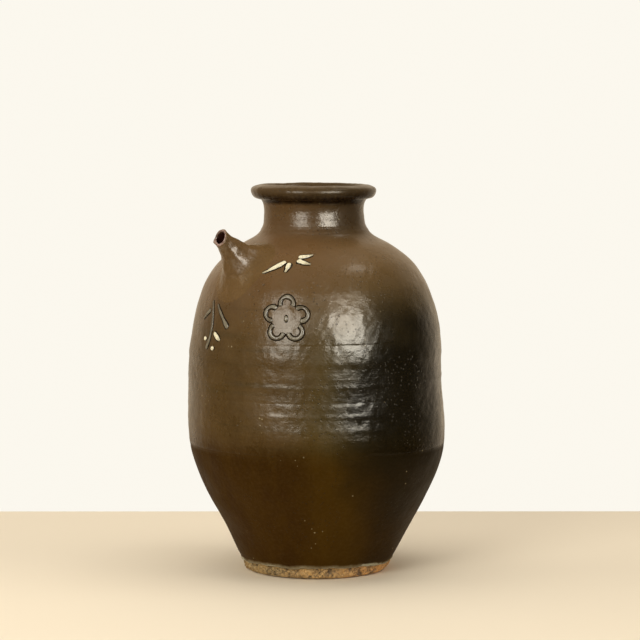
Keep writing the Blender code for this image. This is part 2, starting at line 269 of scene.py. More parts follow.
def build(name, spans, node, material, marks, hole=None, close=True):
    """One closed piece from spans of rows. A span is (points, normals), each rows x columns x 3.

    Neighbouring spans share a row. marks gives one number for each point, kept as an attribute.
    hole marks cells of the first and third spans that are open, with the gap between them walled.
    """
    rows, starts = [], []
    for k, (points, _) in enumerate(spans):
        starts.append(len(rows))
        last = None if k == len(spans) - 1 and not close else -1
        rows.extend(points[:last])
    total = len(rows)
    columns = spans[0][0].shape[1]
    vertices = np.array(rows).reshape(-1, 3)
    faces, normals = [], []
    here = np.arange(columns)
    after = (here + 1) % columns
    for k, (points, normal) in enumerate(spans):
        for i in range(len(points) - 1):
            low, high = (starts[k] + i) * columns, (starts[k] + i + 1) % total * columns
            quads = np.stack([low + here, low + after, high + after, high + here], 1)
            a, b = normal[i], normal[i + 1]
            corners = np.stack([a[here], a[after], b[after], b[here]], 1)
            keep = np.ones(columns, bool)
            if hole is not None and k in (0, 2):
                keep = ~hole[i if k == 0 else len(points) - 2 - i]
            faces.append(quads[keep])
            normals.append(corners[keep])
    if hole is not None:
        extra, extra_normals = hole_walls(hole, spans, starts, columns)
        faces.append(extra)
        normals.append(extra_normals)
    faces = np.concatenate(faces)
    normals = np.concatenate(normals).reshape(-1, 3)
    mesh = bpy.data.meshes.new(name)
    mesh.vertices.add(len(vertices))
    mesh.vertices.foreach_set("co", vertices.ravel())
    mesh.loops.add(faces.size)
    mesh.loops.foreach_set("vertex_index", faces.ravel().astype(np.int32))
    mesh.polygons.add(len(faces))
    mesh.polygons.foreach_set("loop_start", np.arange(0, faces.size, 4, dtype=np.int32))
    mesh.update(calc_edges=True)
    if not close:
        cap_ends(mesh, columns, total)
        ends = np.array([(0, 0, -1)] * columns + [(0, 0, 1)] * columns)
        normals = np.concatenate([normals, ends])
    attribute = mesh.attributes.new("mark", "FLOAT", "POINT")
    attribute.data.foreach_set("value", np.asarray(marks, float).ravel())
    mesh.validate()
    mesh.shade_smooth()
    mesh.normals_split_custom_set([Vector(n) for n in normals])
    mesh.materials.append(material)
    obj = bpy.data.objects.new(name, mesh)
    bpy.context.scene.collection.objects.link(obj)
    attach(obj, "root")
    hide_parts(node)


def cap_ends(mesh, columns, total):
    """Closes the first and last rows with one flat face each."""
    work = bmesh.new()
    work.from_mesh(mesh)
    work.verts.ensure_lookup_table()
    work.faces.new([work.verts[i] for i in reversed(range(columns))])
    work.faces.new([work.verts[(total - 1) * columns + i] for i in range(columns)])
    work.to_mesh(mesh)
    work.free()


def hole_walls(hole, spans, starts, columns):
    """Quads between the outer and inner edges of a hole."""
    rows = hole.shape[0]
    back = starts[2] + rows

    def outside(i, j):
        return (starts[0] + i) * columns + j % columns

    def inside(i, j):
        return (back - i) * columns + j % columns

    faces, normals = [], []
    for i in range(rows):
        for j in range(columns):
            if not hole[i, j]:
                continue
            sides = (
                (hole[i - 1, j], (i, j), (i, j + 1)),
                (hole[i + 1, j], (i + 1, j + 1), (i + 1, j)),
                (hole[i, j - 1], (i + 1, j), (i, j)),
                (hole[i, (j + 1) % columns], (i, j + 1), (i + 1, j + 1)),
            )
            for open_next, a, b in sides:
                if open_next:
                    continue
                faces.append((outside(*a), outside(*b), inside(*b), inside(*a)))
                pa = spans[0][0][a[0], a[1] % columns]
                pb = spans[0][0][b[0], b[1] % columns]
                pc = spans[2][0][rows - b[0], b[1] % columns]
                n = np.cross(pb - pa, pc - pb)
                normals.append([n / np.linalg.norm(n)] * 4)
    return np.array(faces), np.array(normals)


def grid(u0, u1, count):
    """Angles and arc lengths of a grid. u0 and u1 may vary from column to column."""
    angle = np.linspace(0, 2 * math.pi, COLUMNS, endpoint=False)
    share = np.linspace(0, 1, count)[:, None]
    u = u0 + (u1 - u0) * share + 0 * angle[None, :]
    return np.broadcast_to(angle, u.shape), u


def outer_span(u0, u1, count, surface=outer):
    angle, u = grid(u0, u1, count)
    return surface(angle, u), surface_normals(surface, angle, u)


def inner_span(u0, u1, count):
    angle, u = grid(u0, u1, count)
    return inner(angle, u)[::-1], -surface_normals(inner, angle, u)[::-1]


def plain_span(*rows):
    points = np.stack(rows)
    return points, grid_normals(points)


def full_marks(spans):
    """A mark of 1 at every point of a piece's rows."""
    return np.ones((sum(len(points) - 1 for points, _ in spans), COLUMNS))


# The foot and the wall.

ANGLES = np.linspace(0, 2 * math.pi, COLUMNS, endpoint=False)


def circle(radius, height):
    return turned(radius + 0 * ANGLES, height + 0 * ANGLES, ANGLES)


FOOT_RADIUS = 0.0557
SLAB_MIDDLE = 0.0400
SLAB_TOP = 0.0092
WALL_UNDERSIDE = 0.0094
THIN_GLAZE_HEIGHT = 0.0080
GLAZE_EDGE = (
    0.0078
    + 0.0007 * np.sin(2 * ANGLES + 0.4)
    + 0.0005 * np.sin(5 * ANGLES + 1.9)
    + 0.0004 * np.sin(9 * ANGLES + 0.3)
    + 0.00022 * np.sin(17 * ANGLES + 2.2)
    + 0.00015 * np.sin(31 * ANGLES)
)


def make_foot(material):
    """The bare slab: flat below, crusted and chipped at its edge."""
    section = [(0.0500, 0.0), (0.0530, 0.0), (0.0545, 0.0003), (0.0553, 0.0009), (0.0558, 0.0018)]
    section += [(FOOT_RADIUS + 0.0004 + 0.00012 * k, 0.0026 + 0.0006 * k) for k in range(12)]
    rows, marks = [], []
    for radius, height in section:
        base = circle(radius, height)
        crust = 0.00050 * crust_large(base) + 0.00032 * crust_small(base)
        lumps = np.maximum(crust_large(base * 1.7) - 0.8, 0) * 0.0007
        chip = np.maximum(crust_large(base * np.array([1, 1, 0.3]) + 0.4) - 1.5, 0) * 0.0012
        share = smoothstep(0.0500, 0.0556, radius) * smoothstep(-0.0004, 0.0020, height)
        out = (crust + lumps - chip * (1 - smoothstep(0.002, 0.006, height))) * share
        rows.append(turned(radius + out, height + 0 * ANGLES, ANGLES))
        marks.append(out / 0.001)
    bottom = np.stack([circle(0.0020, 0.0), circle(0.0200, 0.0), circle(SLAB_MIDDLE, 0.0), rows[0]])
    top = np.stack([rows[-1], circle(SLAB_MIDDLE, SLAB_TOP), circle(0.0020, 0.0090)])
    spans = [
        (bottom, np.broadcast_to((0, 0, -1), bottom.shape)),
        plain_span(*rows),
        (top, np.broadcast_to((0, 0, 1), top.shape)),
    ]
    zero = np.zeros(COLUMNS)
    values = [zero, zero, zero] + marks + [zero, zero]
    build("Foot", spans, "base_slab", material, np.array(values), close=False)


def edge_roll(angle, u):
    """The glaze's rolled edge just above the bare foot."""
    edge = np.interp(angle, ANGLES, GLAZE_EDGE, period=2 * math.pi)
    above = read(OUTER, "z", u) - edge
    roll = 0.00075 * bump(above, 0.0011, 0.0013) - 0.0016 * (1 - smoothstep(-0.0006, 0.0007, above))
    return outer(angle, u, roll)


def make_lower_wall(material):
    start = np.interp(GLAZE_EDGE - 0.0005, OUTER["z"], OUTER["arc"])
    fine_end = arc_at(0.0125)
    seam = arc_at(SEAM)
    edge = outer_span(start, fine_end, 16, edge_roll)
    wall = outer_span(fine_end, seam, 100, edge_roll)
    outside = np.concatenate([edge[0], wall[0][1:]]), np.concatenate([edge[1], wall[1][1:]])
    inside = inner_span(arc_at(0.0200), seam, 40)
    across = plain_span(outside[0][-1], inside[0][0])
    seat = circle(SLAB_MIDDLE, WALL_UNDERSIDE), circle(0.0545, WALL_UNDERSIDE)
    under = plain_span(inside[0][-1], *seat, outside[0][0])
    spans = [outside, across, inside, under]
    marks = full_marks(spans)
    z = outside[0][:-1, :, 2]
    marks[: len(z)] = np.clip((z - GLAZE_EDGE[None, :]) / THIN_GLAZE_HEIGHT, 0, 1)
    build("LowerWall", spans, "lower_wall", material, marks)


def make_upper_wall(material):
    low, high, count = arc_at(SEAM), arc_at(NECK_SEAM), 200
    outside = outer_span(low, high, count)
    inside = inner_span(low, high, count)
    over = plain_span(outside[0][-1], inside[0][0])
    under = plain_span(inside[0][-1], outside[0][0])
    angle, u = grid(low, high, count)
    hole = footprint(angle[1:] + math.pi / COLUMNS, (u[1:] + u[:-1]) / 2) < FOOTPRINT_HOLE
    spans = [outside, over, inside, under]
    build("UpperWall", spans, "upper_wall", material, full_marks(spans), hole)


def make_neck(material):
    low, high = arc_at(NECK_SEAM), arc_at(0.2893)
    outside = outer_span(low, high, 64)
    inside = inner_span(low, arc_at(0.2860), 32)
    over = plain_span(outside[0][-1], circle(0.0372, 0.2905), inside[0][0])
    under = plain_span(inside[0][-1], outside[0][0])
    spans = [outside, over, inside, under]
    build("Neck", spans, "neck", material, full_marks(spans))


# The lip's section, from its crease with the neck, over the top and down inside: radius, height.
LIP = (
    (41.2, 289.4), (42.8, 289.0), (45.0, 289.4), (46.9, 290.6), (48.1, 292.4), (48.8, 294.6),
    (48.7, 296.4), (47.5, 298.1), (45.1, 299.2), (42.0, 300.0), (39.0, 299.8), (36.4, 297.4),
    (35.2, 294.4), (34.2, 290.4), (33.2, 286.0), (32.6, 282.0),
)


def make_lip(material):
    table = profile_table([(z, r) for r, z in LIP])
    length = table["arc"][-1]

    def surface(angle, u):
        r, z = read(table, "r", u), read(table, "z", u)
        points = turned(r, z, angle)
        away = 0.00016 * slow(points * 2.0) + 0.00009 * lumpy(points) + 0.00004 * dimples(points)
        away = away * smoothstep(0, 0.002, u)
        tilt = 0.0003 * np.cos(angle - 0.7)
        return turned(r + read(table, "nr", u) * away, z + read(table, "nz", u) * away + tilt, angle)

    angle, u = grid(0.0, length, 72)
    body = surface(angle, u), surface_normals(surface, angle, u)
    back = plain_span(body[0][-1], circle(0.0345, 0.2830), circle(0.0372, 0.2885), body[0][0])
    spans = [body, back]
    build("Lip", spans, "lip", material, full_marks(spans))


# The spout: a horn whose skirt runs out into the wall.

SPOUT_BEZIER = ((0.0640, 0.2280), (0.0755, 0.2388), (0.0848, 0.2512), (0.0978, 0.2650))
SPOUT_TIP = 0.93
SPOUT_ROOT = 0.56
SPOUT_TIP_RADIUS = 0.0066
SPOUT_FLARE = 0.0250
SPOUT_FLARE_POWER = 1.7
SPOUT_BORE_RADIUS = 0.0048
SPOUT_DIMPLES = 0.00018
MOUTH_ELEVATION = math.radians(20)
CHIP_DIRECTION = math.radians(246)
SPOUT_COLUMNS = 120
TUBE_ROWS = 22
SKIRT_ROWS = 30


def bezier(points, t):
    a, b, c, d = (np.array(p) for p in points)
    return a * (1 - t) ** 3 + b * 3 * t * (1 - t) ** 2 + c * 3 * t**2 * (1 - t) + d * t**3


def spout_ring(t, radius, around):
    """A ring about the horn's centre line, leaning into the mouth's plane near the tip."""
    ahead = bezier(SPOUT_BEZIER, t + 0.01) - bezier(SPOUT_BEZIER, t - 0.01)
    lean = math.atan2(ahead[1], ahead[0])
    share = float(smoothstep(0.45, SPOUT_TIP, t))
    lean = lean + (MOUTH_ELEVATION - lean) * share
    centre = bezier(SPOUT_BEZIER, t)
    up = np.array([-math.sin(lean), math.cos(lean)])
    radius = radius + 0 * around
    place = centre[None, :] + (np.cos(around) * radius)[:, None] * up[None, :]
    return np.stack([-place[:, 0], -np.sin(around) * radius, place[:, 1]], -1)


def skirt_place(q, around):
    """Angle and arc length on the wall at share q of the footprint, in direction around."""
    reach = np.where(np.cos(around) > 0, FOOTPRINT_UP, FOOTPRINT_DOWN)
    u = SPOUT_ROOT_ARC + q * reach * np.cos(around)
    across = q * FOOTPRINT_SIDE * np.sin(around)
    return across / read(OUTER, "r", u), u


def tube_ring(t, around):
    """The horn's outside: flared, a little uneven and oval, with a chip at the mouth."""
    radius = SPOUT_TIP_RADIUS + SPOUT_FLARE * max(0.0, SPOUT_TIP - t) ** SPOUT_FLARE_POWER
    radius = radius * (1 + 0.012 * np.sin(2 * around + 4 * t) + 0.010 * np.sin(3 * around + 1))
    oval = 0.09 * np.cos(2 * around) * smoothstep(0.60, SPOUT_TIP, t)
    oval = oval + 0.20 * np.maximum(np.cos(around), 0) ** 2 * (1 - smoothstep(0.60, 0.86, t))
    chip = bump(angle_from(around, CHIP_DIRECTION), 0, 0.26)
    chip = chip * smoothstep(SPOUT_TIP - 0.10, SPOUT_TIP, t)
    ring = spout_ring(t, radius * (1 + oval) + 0.0015 * chip, around)
    ring[:, 0] -= 0.0008 * chip
    return ring


def on_wall(q, around, depth):
    """A ring at share q of the footprint, at a depth under the wall's outer face."""
    angle, u = skirt_place(q, around)
    return outer(angle, u, -depth, sunk=False)


def skirt_rows(start, tangent, around):
    """Rows from the tube's last ring to the wall, leaving each of them along its own surface."""
    end = on_wall(1.0, around, 0.00002)
    leave = end - on_wall(0.93, around, 0.00002)
    leave /= np.linalg.norm(leave, axis=1)[:, None]
    gap = np.linalg.norm(end - start, axis=1)[:, None]
    above = np.maximum(np.cos(around), 0)[:, None]
    go, come = 0.70 - 0.35 * above, 1.45 - 1.10 * above
    rows = []
    for s in np.linspace(0, 1, SKIRT_ROWS + 1)[1:]:
        a, b = 2 * s**3 - 3 * s**2 + 1, s**3 - 2 * s**2 + s
        c, d = -2 * s**3 + 3 * s**2, s**3 - s**2
        rows.append(a * start + b * gap * go * tangent + c * end + d * gap * come * leave)
    return rows


def spout_skin(around):
    """The spout's outside, from the mouth to the wall, with its normals."""
    rows = [tube_ring(t, around) for t in np.linspace(SPOUT_TIP, SPOUT_ROOT, TUBE_ROWS)]
    tangent = rows[-1] - rows[-2]
    tangent /= np.linalg.norm(tangent, axis=1)[:, None]
    skin = np.stack(rows + skirt_rows(rows[-1], tangent, around))
    share = np.concatenate([np.full(TUBE_ROWS, 1.0), np.linspace(1, 0, SKIRT_ROWS) ** 0.7])
    skin = skin + (SPOUT_DIMPLES * dimples(skin) * share[:, None])[..., None] * grid_normals(skin)
    normals = grid_normals(skin)
    wall_normals = surface_normals(lambda x, y: outer(x, y, sunk=False), *skirt_place(1.0, around))
    for back in range(10):
        share = (10 - back) / 10
        mixed = normals[-1 - back] * (1 - share**2) + wall_normals * share**2
        normals[-1 - back] = mixed / np.linalg.norm(mixed, axis=1)[:, None]
    return skin, normals


def mouth_rim(inside, outside):
    """The rounded, slightly ragged rim between the bore and the outside."""
    push = np.array([-math.cos(MOUTH_ELEVATION), 0, math.sin(MOUTH_ELEVATION)])
    first = inside * 0.75 + outside * 0.25 + push * 0.0007
    second = inside * 0.4 + outside * 0.6 + push * 0.0009
    second = second + 0.00016 * crust_small(second * 0.7)[:, None] * push
    return plain_span(inside, first, second, outside)


def make_spout(material):
    around = np.linspace(0, 2 * math.pi, SPOUT_COLUMNS, endpoint=False)
    skin = spout_skin(around)
    hidden = [skin[0][-1]]
    hidden += [on_wall(q, around, depth) for q, depth in ((1.0, 0.0006), (0.8, 0.0022), (0.34, 0.0022))]
    hidden += [inner(*skirt_place(q, around), lift) for q, lift in ((0.34, -0.0002), (0.46, 0.0004))]
    bore_ts = np.append(
        np.linspace(0.16, SPOUT_TIP - 0.030, 15), (SPOUT_TIP - 0.015, SPOUT_TIP - 0.005, SPOUT_TIP)
    )
    bore = [spout_ring(t, SPOUT_BORE_RADIUS + 0.0022 * (SPOUT_TIP - t) ** 2, around) for t in bore_ts]
    for k, ring in enumerate(bore):
        ring += np.array([0, 0.0007, 0.0004]) * (k / (len(bore) - 1)) ** 4
    spans = [skin, plain_span(*hidden), plain_span(hidden[-1], *bore), mouth_rim(bore[-1], skin[0][0])]
    # Marks: 1 at the mouth to 0.4 at the tube's root and 0 at the wall, -1 inside, 1.5 on the bare rim.
    tube = 0.4 + 0.6 * smoothstep(0.50, SPOUT_TIP, np.linspace(SPOUT_TIP, SPOUT_ROOT, TUBE_ROWS))
    skirt = 0.4 * (1 - smoothstep(0.22, 0.55, np.linspace(0, 1, SKIRT_ROWS + 1)[1:-1]))
    inside, rim = np.full(len(bore), -1.0), np.full(3, 1.5)
    marks = np.concatenate([tube, skirt, np.zeros(len(hidden) - 1), inside, rim])
    marks = np.repeat(marks[:, None], SPOUT_COLUMNS, axis=1)
    build("Spout", spans, "spout", material, marks)


# Trailed slip.

LEAF_CLUSTER = (math.radians(33), 0.2470)
BLOSSOM = (math.radians(34.5), 0.2035)
TWIG = (math.radians(-8), 0.1990)
LINE_POINTS = 24
ARC_POINTS = 40
HALO = 0.00090
EDGE_DEPTH = 0.00012
UNDERSIDE_DEPTH = 0.0008
FULL_HALO_HALF = 0.0008
FULL_SLIP_HALF = 0.0019


def toward(direction):
    """Unit vector on the wall's unrolled surface: degrees from the right, upwards."""
    return np.array([math.cos(math.radians(direction)), math.sin(math.radians(direction))])


def line(start, direction, length, bow=0.0):
    """A straight or bowed path."""
    s = np.linspace(0, 1, LINE_POINTS)[:, None]
    along = toward(direction)
    side = np.array([-along[1], along[0]])
    return np.array(start) + along * length * s + side * bow * 4 * s * (1 - s)


def arc(centre, radius, first, last):
    """A path along part of a circle, between two angles in degrees."""
    a = np.radians(np.linspace(first, last, ARC_POINTS))[:, None]
    return np.array(centre) + radius * np.concatenate([np.cos(a), np.sin(a)], 1)


def bead(name, motif, path, widths, rise, material, seed):
    """A trailed stroke, with a dark burnt edge about it, lying on the wall."""
    angle0, height0 = motif
    u0 = arc_at(height0)
    r0 = float(read(OUTER, "r", u0))
    step = np.linalg.norm(np.diff(path, axis=0), axis=1)
    along = np.concatenate([[0], np.cumsum(step)])
    length = along[-1]
    s = along / length
    half = np.interp(s, np.linspace(0, 1, len(widths)), widths) / 2
    rng = np.random.default_rng(seed)
    for k in range(1, 5):
        half = half * (1 + 0.05 * rng.normal() * np.sin(k * math.pi * s * 1.5 + rng.uniform(0, 6)))
    cap = np.minimum(along, length - along)
    half = half * np.sqrt(np.clip(1 - (1 - np.clip(cap / half, 0, 1)) ** 2, 0.02, 1))
    tangent = np.gradient(path, axis=0)
    tangent /= np.linalg.norm(tangent, axis=1)[:, None]
    side = np.stack([-tangent[:, 1], tangent[:, 0]], 1)

    def laid(reach, lift):
        """A row beside the path, on the wall."""
        place = path + side * reach[:, None]
        return outer(angle0 + place[:, 0] / r0, u0 + place[:, 1], lift, sunk=False)

    # Across the stroke: share of the half width, height, how much slip shows, share of the halo.
    section = [(1.0, 0.0, 0.0, 1.25), (1.0, 0.10, 0.0, 1.0)]
    section += [(1.0, 0.14, 0.0, 0.5), (1.0, 0.17, 0.0, 0.0)]
    for a in np.radians([24, 44, 66, 90]):
        section.append((math.cos(a), 0.16 + 0.84 * math.sin(a), 1.0, 0.0))
    section += [(-x, h, m, e) for x, h, m, e in section[:-1][::-1]]
    rows, marks = [], []
    for x, h, m, e in section:
        reach = half * x + math.copysign(HALO * e, x) * np.clip(half / FULL_HALO_HALF, 0, 1)
        lift = h * rise * np.clip(half / (max(widths) / 2), 0.25, 1)
        rows.append(laid(reach, lift - (EDGE_DEPTH if e > 1.0 else 0.0)))
        marks.append(m * (0.35 + 0.65 * np.clip(half / FULL_SLIP_HALF, 0, 1)))
    for x in (-0.9, 0.0, 0.9):
        rows.append(laid(half * x, -UNDERSIDE_DEPTH))
        marks.append(np.zeros(len(path)))
    points, values = np.stack(rows), np.stack(marks)
    # Rows run along the stroke, columns round it.
    points, values = points.transpose(1, 0, 2), values.T
    normal = grid_normals(points)
    middle = outer(np.array([[angle0]]), np.array([[u0]]), sunk=False)[0, 0]
    if np.dot(normal[len(path) // 2, len(section) // 2], middle * np.array([1, 1, 0])) < 0:
        points, values, normal = points[:, ::-1], values[:, ::-1], -normal[:, ::-1]
    build(name, [(points, normal)], name_node(name), material, values, close=False)


def name_node(name):
    """CAD node of a stroke: TwigLeaf_1 stands for twig_leaf_1."""
    return "".join("_" + c.lower() if c.isupper() and i else c.lower() for i, c in enumerate(name))


def make_slip(cream, veiled):
    # Direction, length, width and bow of each leaf of the cluster.
    leaves = (
        (222, 0.0190, 0.0040, 0.0008),
        (262, 0.0100, 0.0036, 0.0004),
        (338, 0.0110, 0.0044, -0.0008),
        (16, 0.0120, 0.0040, -0.0008),
    )
    for i, (direction, length, width, bow) in enumerate(leaves):
        path = line(toward(direction) * 0.0050, direction, length, bow)
        widths = (width * 0.9, width, width * 0.6, 0.0011)
        bead(f"ClusterLeaf_{i + 1}", LEAF_CLUSTER, path, widths, 0.0011, cream, 20 + i)

    widths = (0.0030, 0.0022, 0.0026, 0.0021, 0.0030)
    for i in range(5):
        direction = 90 + 72 * i
        path = arc(toward(direction) * 0.0118, 0.0052, direction - 118, direction + 118)
        bead(f"Petal_{i + 1}", BLOSSOM, path, widths, 0.0009, veiled, 40 + i)
    path = line((-0.0016, 0.0), 0, 0.0032)
    bead("BlossomCentre", BLOSSOM, path, (0.0044, 0.0044), 0.0010, veiled, 50)

    path = arc((-0.0420, -0.0040), 0.0420, -26, 28)
    bead("TwigStem", TWIG, path, (0.0028, 0.0022, 0.0018, 0.0013), 0.0008, veiled, 60)
    # Start, direction, length, widths and slip of each leaf of the twig.
    twig_leaves = (
        ((0.0035, 0.0130), -48, 0.0240, (0.0013, 0.0020, 0.0026, 0.0036), veiled),
        ((-0.0055, 0.0080), 218, 0.0130, (0.0030, 0.0022, 0.0012), veiled),
        ((0.0040, -0.0090), -35, 0.0100, (0.0026, 0.0040, 0.0016), cream),
    )
    for i, (place, direction, length, widths, slip) in enumerate(twig_leaves):
        bead(f"TwigLeaf_{i + 1}", TWIG, line(place, direction, length), widths, 0.0009, slip, 70 + i)
    for i, place in enumerate(((-0.0075, -0.0162), (0.0045, -0.0227))):
        bead(f"TwigBud_{i + 1}", TWIG, line(place, 90, 0.0034), (0.0042, 0.0042), 0.0010, cream, 80 + i)


# Materials.

# Towards the side given painted shade on the glaze and painted light on the bare foot, the olive tone
# partly lightened with painted sheen, and the side away from the window, given painted shade and
# painted light.
UNLIT_SIDE_DIRECTION = (0.10, -0.995, 0.0)
OLIVE_SHEEN_DIRECTION = (0.45, -0.89, 0.0)
SHADE_DIRECTION = (0.75, -0.66, 0.0)
LIP_HEIGHTS = (0.2875, 0.2915)


def new_node(tree, kind, inputs, **settings):
    """A shader node with its settings, each input either linked or given a constant."""
    node = tree.nodes.new("ShaderNode" + kind)
    for name, value in settings.items():
        setattr(node, name, value)
    for socket, value in inputs.items():
        feed(tree, node.inputs[socket], value)
    return node


def feed(tree, socket, value):
    """Links a socket's value, or sets a constant."""
    if isinstance(value, bpy.types.NodeSocket):
        tree.links.new(value, socket)
    else:
        socket.default_value = value


class Nodes:
    """Short names for building a material's nodes. Each returns one output socket."""

    def __init__(self, name):
        self.material = bpy.data.materials.new(name)
        self.material.use_nodes = True
        self.tree = self.material.node_tree
        self.shader = self.tree.nodes["Principled BSDF"]
        self.place = self.node("TexCoord", "Object", {})

    def node(self, kind, output, inputs, **settings):
        return new_node(self.tree, kind, inputs, **settings).outputs[output]

    def look(self, name, value):
        """Sets or links one input of the material's shader."""
        feed(self.tree, self.shader.inputs[name], value)

    def stretched(self, scale):
        return self.node("Mapping", "Vector", {"Vector": self.place, "Scale": scale})

    def noise(self, scale, detail, rough, at=None):
        inputs = {"Vector": at or self.place, "Scale": scale, "Detail": detail, "Roughness": rough}
        return self.node("TexNoise", "Fac", inputs)

    def cells(self, scale):
        """Distance from the middle of the nearest cell."""
        return self.node("TexVoronoi", "Distance", {"Vector": self.place, "Scale": scale})

    def cracks(self, scale):
        """1 along the thin lines between cells, wandering a little."""
        drift = self.node("TexNoise", "Color", {"Vector": self.place, "Scale": scale})
        inputs = {0: drift, 1: (0.007, 0.007, 0.007), 2: self.place}
        shifted = self.node("VectorMath", 0, inputs, operation="MULTIPLY_ADD")
        inputs = {"Vector": shifted, "Scale": scale}
        edge = self.node("TexVoronoi", "Distance", inputs, feature="DISTANCE_TO_EDGE")
        return self.ramp(edge, 0.02, 0.14, 1.0, 0.0)

    def ramp(self, value, low, high, out_low=0.0, out_high=1.0):
        """Goes smoothly from out_low to out_high while value goes from low to high."""
        inputs = {"Value": value, "From Min": low, "From Max": high}
        inputs.update({"To Min": out_low, "To Max": out_high})
        return self.node("MapRange", "Result", inputs, interpolation_type="SMOOTHSTEP")

    def maths(self, operation, a, b):
        return self.node("Math", "Value", {0: a, 1: b}, operation=operation)

    def plus(self, a, b):
        return self.maths("ADD", a, b)

    def minus(self, a, b):
        return self.maths("SUBTRACT", a, b)

    def times(self, a, b):
        return self.maths("MULTIPLY", a, b)

    def mix(self, share, a, b):
        """Colour a where share is 0 and b where it is 1."""
        a, b = ((*value, 1.0) if isinstance(value, tuple) else value for value in (a, b))
        return self.node("Mix", 2, {0: share, 6: a, 7: b}, data_type="RGBA")

    def mark(self):
        """The number that build() keeps at each point."""
        return self.node("Attribute", "Fac", {}, attribute_name="mark")

    def height(self):
        return self.node("SeparateXYZ", "Z", {0: self.place})

    def by_height(self, low, high, out_low=0.0, out_high=1.0):
        return self.ramp(self.height(), low, high, out_low, out_high)

    def side(self, direction, low, high):
        """Rises from 0 to 1 across the bottle along a direction, with a wandering edge."""
        inputs = {0: self.place, 1: direction}
        across = self.node("VectorMath", "Value", inputs, operation="DOT_PRODUCT")
        wander = self.times(self.minus(self.noise(14, 3, 0.5), 0.5), 0.05)
        return self.ramp(self.plus(across, wander), low, high)

    def bump(self, value, distance, strength, before=None):
        inputs = {"Height": value, "Distance": distance, "Strength": strength}
        if before:
            inputs["Normal"] = before
        return self.node("Bump", "Normal", inputs)


